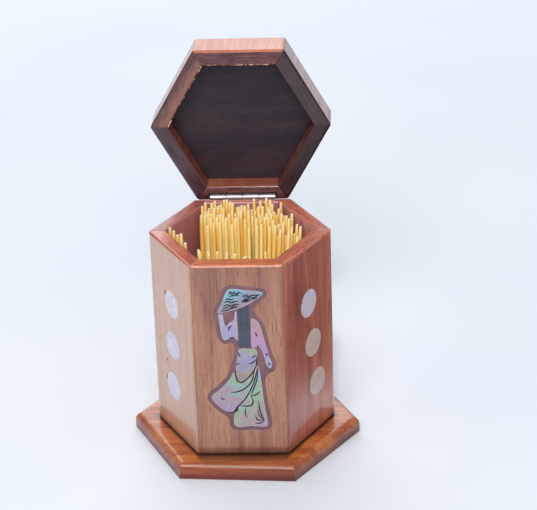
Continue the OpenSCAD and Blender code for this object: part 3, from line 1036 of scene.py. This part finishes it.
@dataclass
class Lid:
    """Six lid rails, the panel between them and flecks of glue on the edge of the mouth."""

    swing: Swing
    inner_apothem: float = 21.0 * MM
    mouth_level: float = 75.2 * MM
    first_seed: float = 1.13
    seed_step: float = 0.19
    fleck_seed: int = 11
    fleck_shape: Way = (1.0, 0.7, 0.6)
    fleck_range: tuple[float, float] = (0.6, 1.5)
    fleck_length: float = 1.6
    fleck_rise: float = 0.3
    rail: LacqueredWood = LacqueredWood(
        "6c2e1c", "96502e", "bc7044", "5a3030", "7a4640", "96604e", lustre=0.3
    )
    top: LacqueredWood = LacqueredWood(
        "ba623f", "c9714d", "d6825e", "5c2c2a", "86484a", "a8685a", pores=0.2
    )
    panel: LacqueredWood = LacqueredWood(
        "1b141d", "2b1e28", "3c2a2e", "2e2123", "45302c", "4a3030", Lie.TILTED, 0.6, 0.3, 0.15, 0.3, 0.3
    )
    # Shades of each rail's mouth, edges, band and inner face: one wood made lighter or darker rail by rail,
    # partly real variation and partly painted light and shade; the front rail's bright edge is a painted
    # highlight
    looks: dict[Side, RailLook] = field(default_factory=lambda: {
        Side.FRONT: RailLook("502a2c", "764648", "ffa870", 0.0, 0.15, "6a3428"),
        Side.FRONT_RIGHT: RailLook("2c181c", "442a2e", "56302c", 0.0, 0.65, "4a2622"),
        Side.BACK_RIGHT: RailLook("23141a", "3a2226", "5a302a", 0.1, 0.25, "4c2620"),
        Side.BACK: RailLook("4e2a2a", "704648", "6a3c34", 0.0, 0.7, "a4543e"),
        Side.BACK_LEFT: RailLook("361e24", "523640", "543030", 0.0, 0.5, "7c3a2c"),
        Side.FRONT_LEFT: RailLook("4e2826", "704440", "96604e", 0.7, 0.7, "5a2c24"),
    })

    def boards(self) -> None:
        """Dresses the rails and the panel."""
        closed = self.swing.closed()
        for count, side in enumerate(Side):
            node = f"lid_rail_{side.label}"
            look = self.looks[side]
            finish = replace(
                self.top if side is Side.FRONT else self.rail,
                rim_dark=look.dark, rim_pale=look.pale, wear_and_highlight=look.wear_and_highlight, coat=look.coat, inside=look.inside,
            )
            board = Board(
                closed, side.value, self.swing.way(DOWN), self.first_seed + self.seed_step * count,
                foot_shade_and_dirt=0.0, band=look.band, rim_least=0.75 if side is Side.FRONT else 0.5,
            )
            dress(node, finish.material(node + "_wood", board))
        board = Board(closed, 0.0, self.swing.way(UP), 2.41, False)
        dress("lid_panel", self.panel.material("lid_panel_wood", board))

    def fleck(self) -> Piece:
        """Models one small lump of dry glue.

        Returns:
            A lump about one metre across, to be scaled down.
        """
        clear_selection()
        bpy.ops.mesh.primitive_ico_sphere_add(subdivisions=2, radius=0.5)
        lump = bpy.context.object
        with editing(lump):
            bpy.ops.transform.vertex_random(offset=0.16, uniform=0.4, normal=0.5, seed=self.fleck_seed)
            bpy.ops.transform.resize(value=self.fleck_shape)
        return lump

    def spots(self) -> list[tuple[Vector, float, float]]:
        """Places of the glue flecks along the inner edge of the mouth.

        Returns:
            Place on the closed lid, size and plan angle of each fleck.
        """
        dice = random.Random(self.fleck_seed)
        corner = 2.0 * self.inner_apothem * MITRE
        left = Vector((-corner, 0.0, self.mouth_level))
        front_left = Vector((-corner / 2.0, -self.inner_apothem, self.mouth_level))
        front_right = Vector((corner / 2.0, -self.inner_apothem, self.mouth_level))
        # Ends of an edge, shares of it between which the flecks lie, their number and their size
        runs = (
            (front_left, front_right, 0.46, 0.9, 34, 0.44 * MM),
            (front_left, front_right, 0.04, 0.5, 14, 0.2 * MM),
            (front_left, left, 0.0, 0.1, 9, 0.42 * MM),
            (front_left, left, 0.08, 0.85, 26, 0.2 * MM),
            (front_left, left, 0.9, 1.0, 12, 0.65 * MM),
        )
        found = []
        for start, end, near, far, count, size in runs:
            way = end - start
            for _ in range(count):
                spot = start + way * dice.uniform(near, far)
                wide = size * dice.uniform(*self.fleck_range)
                spot.z += self.fleck_rise * wide
                found.append((spot, wide, math.atan2(way.y, way.x)))
        return found

    def glue(self) -> None:
        """Sets the glue flecks along the inner edge of the mouth, all as one piece."""
        lump = self.fleck()
        flecks = []
        for count, (spot, size, angle) in enumerate(self.spots()):
            fleck = twin(lump, f"fleck_{count}")
            place = Matrix.Translation(spot) @ Matrix.Rotation(angle, 4, "Z")
            stretch = Matrix.Diagonal((self.fleck_length * size, size, size, 1.0))
            fleck.matrix_world = self.swing.opened() @ place @ stretch
            flecks.append(fleck)
        bpy.data.objects.remove(lump)
        piece = together(flecks, "glue_flecks")
        settle(piece)
        coat_piece(piece, DryGlue().material("dry_glue"))
        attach(piece, "lid")
        LOG.info("modelled %s", piece.name)

    def build(self) -> None:
        """Dresses the lid and adds the glue."""
        self.boards()
        self.glue()


@dataclass
class Hinge:
    """Two leaves with their knuckles, the pin and four round-headed screws."""

    swing: Swing
    head_radius: float = 1.5 * MM
    head_height: float = 0.8 * MM
    shank_radius: float = 0.75 * MM
    shank_length: float = 4.0 * MM
    slot_width: float = 0.4 * MM
    sharp_angle: float = 35.0

    def screw(self) -> Piece:
        """Models a screw with a domed, slotted head that looks along +Z and sits on the ground plane.

        Returns:
            The screw.
        """
        ball = (self.head_radius ** 2 + self.head_height ** 2) / (2.0 * self.head_height)
        clear_selection()
        bpy.ops.mesh.primitive_uv_sphere_add(
            segments=32, ring_count=32, radius=ball, location=(0.0, 0.0, self.head_height - ball)
        )
        screw = bpy.context.object
        bpy.ops.object.transform_apply(location=True)
        with editing(screw):
            bpy.ops.mesh.bisect(plane_co=(0.0, 0.0, 0.0), plane_no=UP, use_fill=True, clear_inner=True)
            bpy.ops.mesh.inset(thickness=self.head_radius - self.shank_radius)
            bpy.ops.mesh.extrude_region_move(TRANSFORM_OT_translate={"value": (0.0, 0.0, -self.shank_length)})
        clear_selection()
        bpy.ops.mesh.primitive_cube_add(size=1.0, location=(0.0, 0.0, self.head_height))
        cutter = bpy.context.object
        cutter.scale = (4.0 * self.head_radius, self.slot_width, self.head_height)
        pick_up(screw)
        slot = screw.modifiers.new("slot", "BOOLEAN")
        slot.operation = "DIFFERENCE"
        slot.object = cutter
        bpy.ops.object.modifier_apply(modifier=slot.name)
        bpy.data.objects.remove(cutter)
        return screw

    def drive(self, screw: Piece, node: str, body: str, way: Vector, turns: Sequence[float]) -> None:
        """Puts two screws where a node has its own, each slot at its own angle.

        Args:
            screw: Screw to copy.
            node: Node that the screws stand for.
            body: Body that they ride on.
            way: Direction that the heads look along.
            turns: Angle of each slot in degrees.
        """
        low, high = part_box(node)
        seat = (low + high) / 2.0
        seat += way * (abs(way.dot(high - low)) / 2.0 - self.head_height)
        tilt = way.to_track_quat("Z", "X").to_matrix().to_4x4()
        pair = []
        for count, x in enumerate((low.x + self.head_radius, high.x - self.head_radius)):
            one = twin(screw, f"{node}_{count}")
            spot = Matrix.Translation((x, seat.y, seat.z))
            one.matrix_world = spot @ tilt @ Matrix.Rotation(math.radians(turns[count]), 4, "Z")
            pair.append(one)
        piece = together(pair, node + "_domed")
        settle(piece)
        pick_up(piece)
        bpy.ops.object.shade_smooth_by_angle(angle=math.radians(self.sharp_angle))
        coat_piece(piece, PlatedSteel("b8b6b4", "86827e").material(node + "_steel"))
        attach(piece, body)
        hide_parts(node)
        LOG.info("modelled %s", piece.name)

    def build(self) -> None:
        """Dresses the leaves and the pin and drives the screws."""
        plate = PlatedSteel().material("hinge_steel")
        for node in ("hinge_leaf_body", "hinge_leaf_lid", "hinge_pin"):
            dress(node, plate)
        screw = self.screw()
        self.drive(screw, "hinge_screws_body", "box", Vector(BACK), (20.0, -35.0))
        self.drive(screw, "hinge_screws_lid", "lid", Vector(self.swing.way(BACK)), (65.0, 8.0))
        bpy.data.objects.remove(screw)


@dataclass
class Inlay:
    """Pearl discs, the figure in its filler and the engraved lines."""

    middle: Vector = field(default_factory=lambda: Vector((0.0, -26.0 * MM, 40.25 * MM)))
    line_radius: float = 0.25 * MM
    line_end: float = 0.45
    flatness: float = 0.45
    shells: dict[str, Pearl] = field(default_factory=lambda: {
        "inlay_hat": Pearl(("9a808a", "a08c9a", "8c92a8", "78a8b8", "84aebe"), (-0.35, 0.0, 0.95), 0.4, 0.2),
        "inlay_blouse": Pearl(("a79cba", "9c99c0", "b3a2b4", "9d9cb8"), (0.5, 0.0, 0.85), 0.6, 1.1, 200.0),
        "inlay_sleeve": Pearl(("a2a2b8", "9c8eb4", "bc88ae", "bc8aa4", "a89290"), UP, 0.45, 2.3),
        "inlay_tunic": Pearl(
            ("96887e", "a3948a", "938fb4", "a098b4", "9da08c"), (0.1, 0.0, 1.0), 0.5, 3.1, 240.0
        ),
        "inlay_skirt": Pearl(
            ("a695b4", "a88fa4", "a89aa0", "8fb0a8", "93ab90", "a5a298"), (0.25, 0.0, 0.95), 0.45, 4.4, 190.0
        ),
        "inlay_trousers": Pearl(
            ("ae98a8", "ac989a", "9dab95", "8fb8a4", "8caccb", "9cb2c0"), (-0.45, 0.0, 0.9), 0.5, 5.2, 190.0
        ),
        "pearl_discs_left": Pearl(("cdc9dc", "d6cbd8", "dcd6e0", "c2bcd4", "d8d0da"), UP, 1.3, 6.1, 210.0),
        "pearl_discs_right": Pearl(("c4a8a0", "cdb2aa", "cfb6a0", "d8c2b4", "d2c4d2"), UP, 0.7, 7.3, 210.0),
    })
    lines: tuple[Stroke, ...] = (
        ((-2.8, 24.2), (-2.2, 25.5), (-1.8, 24.6), (-1.0, 25.3), (-0.4, 24.4), (0.4, 25.2), (1.3, 24.8)),
        ((-2.6, 23.8), (-1.1, 24.2), (0.6, 24.2)),
        ((2.2, 23.4), (3.2, 23.7), (4.6, 24.1), (5.9, 24.2), (7.3, 24.4)),
        ((2.5, 22.6), (3.9, 23.3), (5.2, 23.3), (6.6, 24.1)),
        ((-4.4, 21.7), (-3.2, 22.1), (-2.0, 21.6), (-0.8, 22.1), (0.2, 21.8)),
        ((-4.6, 20.1), (-3.6, 20.8), (-2.2, 20.6), (-0.6, 21.0), (0.5, 20.9)),
        ((-5.5, 18.6), (-4.5, 18.7), (-3.0, 19.1), (-1.9, 19.6), (-0.2, 19.9)),
        ((-2.6, 19.8), (-1.4, 20.2), (0.1, 20.3)),
        ((-5.0, 19.4), (-3.8, 19.8), (-2.6, 20.2)),
        ((-3.8, 22.7), (-3.1, 23.0), (-2.2, 22.7), (-1.2, 22.9)),
        ((1.5, 24.4), (2.0, 23.8), (2.8, 24.4), (3.6, 23.9)),
        ((1.0, 22.0), (2.0, 22.3), (3.2, 22.7)),
        ((4.3, 22.7), (5.2, 22.9), (6.2, 23.5)),
        ((-3.6, 12.6), (-2.9, 12.8), (-2.2, 13.4)),
        ((-3.3, 11.3), (-3.2, 12.0), (-2.9, 12.7)),
        ((-3.0, 8.8), (-2.3, 9.0), (-1.5, 8.8)),
        ((5.3, 10.8), (5.5, 10.0), (5.8, 9.2)),
        ((8.3, 2.6), (8.6, 2.9), (8.8, 2.5), (8.5, 2.3)),
        ((9.0, -0.8), (9.3, -0.6), (9.4, -1.1), (9.1, -1.2)),
        ((1.4, 21.6), (2.6, 22.2), (3.8, 22.9)),
        ((1.6, 22.5), (2.8, 22.9), (4.0, 23.3)),
        ((2.2, 21.6), (3.3, 22.1), (4.7, 22.8)),
        ((-0.4, 3.6), (-0.2, 2.4), (0.2, 1.8)),
        ((-1.4, -1.1), (-0.8, -0.6), (-0.2, -0.8)),
        ((2.7, -0.8), (4.1, -0.2), (5.2, 0.8)),
        ((3.8, 1.5), (4.7, 2.1), (5.4, 2.3)),
        ((5.5, 2.1), (5.3, -0.2), (4.9, -2.5)),
        ((4.5, -3.1), (3.6, -6.8), (1.1, -9.9), (-1.4, -11.0), (-3.4, -11.2)),
        ((5.7, -2.5), (5.1, -6.8), (4.0, -9.9), (3.1, -12.3)),
        ((3.1, -12.7), (4.4, -12.3), (5.4, -11.6), (6.2, -10.9)),
        ((3.1, -12.7), (3.7, -14.6), (3.2, -16.0), (1.5, -16.4), (-0.9, -16.2)),
        ((-1.7, -16.6), (-1.4, -17.7), (-2.5, -18.5), (-5.1, -18.7)),
        ((1.2, -17.2), (1.0, -19.0), (1.6, -20.8)),
        ((5.5, -14.5), (5.7, -17.0), (6.5, -20.2), (7.2, -22.0)),
        ((5.2, -17.6), (5.5, -19.8), (7.0, -22.0)),
        ((4.2, -19.8), (5.1, -21.6), (6.8, -21.8)),
        ((4.2, -23.0), (5.8, -22.8), (7.0, -22.2)),
        ((-6.8, -13.1), (-6.3, -13.6), (-5.4, -13.7)),
        ((-1.45, -3.2), (-1.55, -5.2), (-0.35, -7.5), (2.35, -5.9), (4.35, -3.2), (5.3, -0.9)),
        ((5.45, -2.5), (4.62, -6.0), (3.2, -9.95), (1.05, -13.9), (-1.35, -16.6), (-2.6, -18.6)),
    )
    # Dark marks at the rims of the pearl discs: partly dark flecks, partly painted shadow along the discs'
    # edges
    nicks: dict[Side, tuple[Stroke, ...]] = field(default_factory=lambda: {
        Side.FRONT_LEFT: (
            ((-4.1, 16.4), (-4.3, 17.0), (-3.9, 17.4), (-3.8, 16.6)),
            ((-3.6, 17.7), (-3.2, 18.1)),
            ((-4.6, 2.2), (-4.2, 2.6)),
            ((-5.2, -7.8), (-5.0, -8.4), (-5.3, -9.0)),
            ((-5.0, -10.2), (-4.8, -10.7)),
            ((-6.0, -16.0), (-5.9, -15.0), (-5.6, -14.2)),
        ),
        Side.FRONT_RIGHT: (
            ((-1.6, -5.0), (-0.6, -5.5), (0.4, -5.7)),
            ((1.6, -5.9), (2.4, -5.8)),
            ((-2.4, -4.0), (-2.2, -4.4)),
            ((-4.9, 16.2), (-4.7, 16.7)),
        ),
    })

    def line(self, points: Stroke, name: str) -> Piece:
        """Draws one engraved line that thins out at its ends.

        Args:
            points: Places on a face in millimetres, to the right and up.
            name: Name of the line.

        Returns:
            The line as a mesh, drawn about the origin.
        """
        clear_selection()
        bpy.ops.curve.primitive_bezier_curve_add()
        piece = bpy.context.object
        piece.name = name
        curve = piece.data
        curve.dimensions = "3D"
        knots = curve.splines[0].bezier_points
        knots.add(len(points) - len(knots))
        for count, (knot, (x, z)) in enumerate(zip(knots, points)):
            knot.co = (x * MM, 0.0, z * MM)
            knot.handle_left_type = knot.handle_right_type = "AUTO"
            knot.radius = self.line_end if count in (0, len(points) - 1) else 1.0
        curve.resolution_u = 6
        curve.bevel_depth = self.line_radius
        curve.bevel_resolution = 1
        curve.use_fill_caps = True
        bpy.ops.object.convert(target="MESH")
        return bpy.context.object

    def engraving(self, side: Side, strokes: Sequence[Stroke], name: str) -> None:
        """Lays lines flat on a face of the box, all as one piece.

        Args:
            side: Side that the face is on.
            strokes: Lines to draw.
            name: Name of the piece.
        """
        piece = together([self.line(points, f"{name}_{count}") for count, points in enumerate(strokes)], name)
        turn = Matrix.Rotation(math.radians(side.value), 4, "Z")
        press = Matrix.Diagonal((1.0, self.flatness, 1.0, 1.0))
        piece.matrix_world = turn @ Matrix.Translation(self.middle) @ press
        settle(piece)
        coat_piece(piece, INK.material(name + "_black"))
        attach(piece, "box")
        LOG.info("modelled %s", piece.name)

    def build(self) -> None:
        """Dresses the shell and the filler and adds the lines."""
        for node, shell in self.shells.items():
            dress(node, shell.material(node + "_pearl", node))
        dress("inlay_hair", DARK_SHELL.material("dark_shell"))
        dress("inlay_bed", FILLER.material("wood_filler"))
        self.engraving(Side.FRONT, self.lines, "engraved_lines")
        for side, strokes in self.nicks.items():
            self.engraving(side, strokes, f"nicks_{side.label}")


@dataclass
class Contents:
    """Toothpicks that stand in the box."""

    wood: PickWood = PickWood()
    sides: int = 8
    radius: float = 0.7 * MM
    length: float = 65.0 * MM
    point: float = 7.0 * MM
    shoulder: float = 0.62 * MM
    shoulder_share: float = 0.55
    blunt: float = 0.44 * MM
    end_share: float = 0.6
    rounding: float = 0.16 * MM
    level_face: float = 0.9
    roll_seed: int = 5
    thin: float = 0.94
    thick: float = 1.06

    def draw_out(self, top: bool) -> None:
        """Draws the end of a stick in edit mode out to its blunt, softly rounded point.

        Args:
            top: Whether it is the upper end.
        """
        way = 1.0 if top else -1.0
        level = self.length - self.point if top else self.point
        wide = self.radius
        for step, narrow in (
            (self.shoulder_share * self.point, self.shoulder),
            ((1.0 - self.shoulder_share) * self.point - self.rounding, self.blunt),
            (self.rounding, self.end_share * self.blunt),
        ):
            level += way * step
            bpy.ops.mesh.extrude_region_move(TRANSFORM_OT_translate={"value": (0.0, 0.0, way * step)})
            scale = narrow / wide
            bpy.ops.transform.resize(value=(scale, scale, 1.0), center_override=(0.0, 0.0, level))
            wide = narrow

    def stick(self) -> Piece:
        """Models one upright toothpick on the ground plane, which notes how near each point is to an end.

        Returns:
            The toothpick.
        """
        clear_selection()
        bpy.ops.mesh.primitive_cylinder_add(
            vertices=self.sides,
            radius=self.radius,
            depth=self.length - 2.0 * self.point,
            location=(0.0, 0.0, self.length / 2.0),
        )
        stick = bpy.context.object
        bpy.ops.object.transform_apply(location=True)
        for top in (False, True):
            with editing(stick):
                bpy.ops.mesh.select_mode(type="FACE")
                bpy.ops.mesh.select_all(action="DESELECT")
            for face in stick.data.polygons:
                face.select = (face.normal.z if top else -face.normal.z) > self.level_face
            bpy.ops.object.mode_set(mode="EDIT")
            self.draw_out(top)
            bpy.ops.object.mode_set(mode="OBJECT")
        bpy.ops.object.shade_smooth()
        nearness = stick.data.attributes.new(TIP, "FLOAT", "POINT")
        for spot, mark in zip(stick.data.vertices, nearness.data):
            mark.value = 1.0 - min(spot.co.z, self.length - spot.co.z, self.point) / self.point
        return stick

    def lines(self, node: str) -> list[tuple[Vector, Vector]]:
        """Finds where the sticks of a node stand.

        Args:
            node: Name of the node.

        Returns:
            Middle of the lower and of the upper end of each stick.
        """
        copy = twin(frame["nodes"][node], node + "_copy")
        copy.parent = None
        copy.matrix_world = Matrix.Identity(4)
        settle(copy)
        with editing(copy):
            bpy.ops.mesh.separate(type="LOOSE")
        found = []
        for one in list(bpy.context.selected_objects):
            spots = [v.co.copy() for v in one.data.vertices]
            low, high = min(s.z for s in spots), max(s.z for s in spots)
            foot = [s for s in spots if s.z < low + self.point / 2.0]
            tip = [s for s in spots if s.z > high - self.point / 2.0]
            found.append((sum(foot, Vector()) / len(foot), sum(tip, Vector()) / len(tip)))
            bpy.data.objects.remove(one)
        return found

    def stand(self, stick: Piece, node: str) -> None:
        """Stands a copy of the toothpick in the place of each stick of a node.

        Args:
            stick: Toothpick to copy.
            node: Node that the sticks stand for.
        """
        dice = random.Random(self.roll_seed)
        bunch = []
        for count, (foot, tip) in enumerate(self.lines(node)):
            one = twin(stick, f"{node}_{count}")
            tilt = (tip - foot).to_track_quat("Z", "X").to_matrix().to_4x4()
            roll = Matrix.Rotation(dice.uniform(0.0, math.tau), 4, "Z")
            wide = dice.uniform(self.thin, self.thick)
            size = Matrix.Diagonal((wide, wide, (tip - foot).length / self.length, 1.0))
            one.matrix_world = Matrix.Translation(foot) @ tilt @ roll @ size
            bunch.append(one)
        piece = together(bunch, node + "_turned")
        settle(piece)
        coat_piece(piece, self.wood.material(node + "_wood"))
        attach(piece, "box")
        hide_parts(node)
        LOG.info("modelled %s of %d sticks", piece.name, len(bunch))

    def build(self) -> None:
        """Stands up the bunch and the loose sticks."""
        stick = self.stick()
        for node in ("toothpicks", "toothpicks_loose"):
            self.stand(stick, node)
        bpy.data.objects.remove(stick)


def main() -> None:
    """Builds the stage and each sub-assembly in order."""
    logging.basicConfig(level=logging.INFO, format="%(message)s")
    hinge = frame["joints"][0]
    swing = Swing(Vector(hinge["pos_m"]), hinge["range_deg"][1])
    for part in (Stage(), Case(), Lid(swing), Hinge(swing), Inlay(), Contents()):
        part.build()


if __name__ == "__main__":
    main()
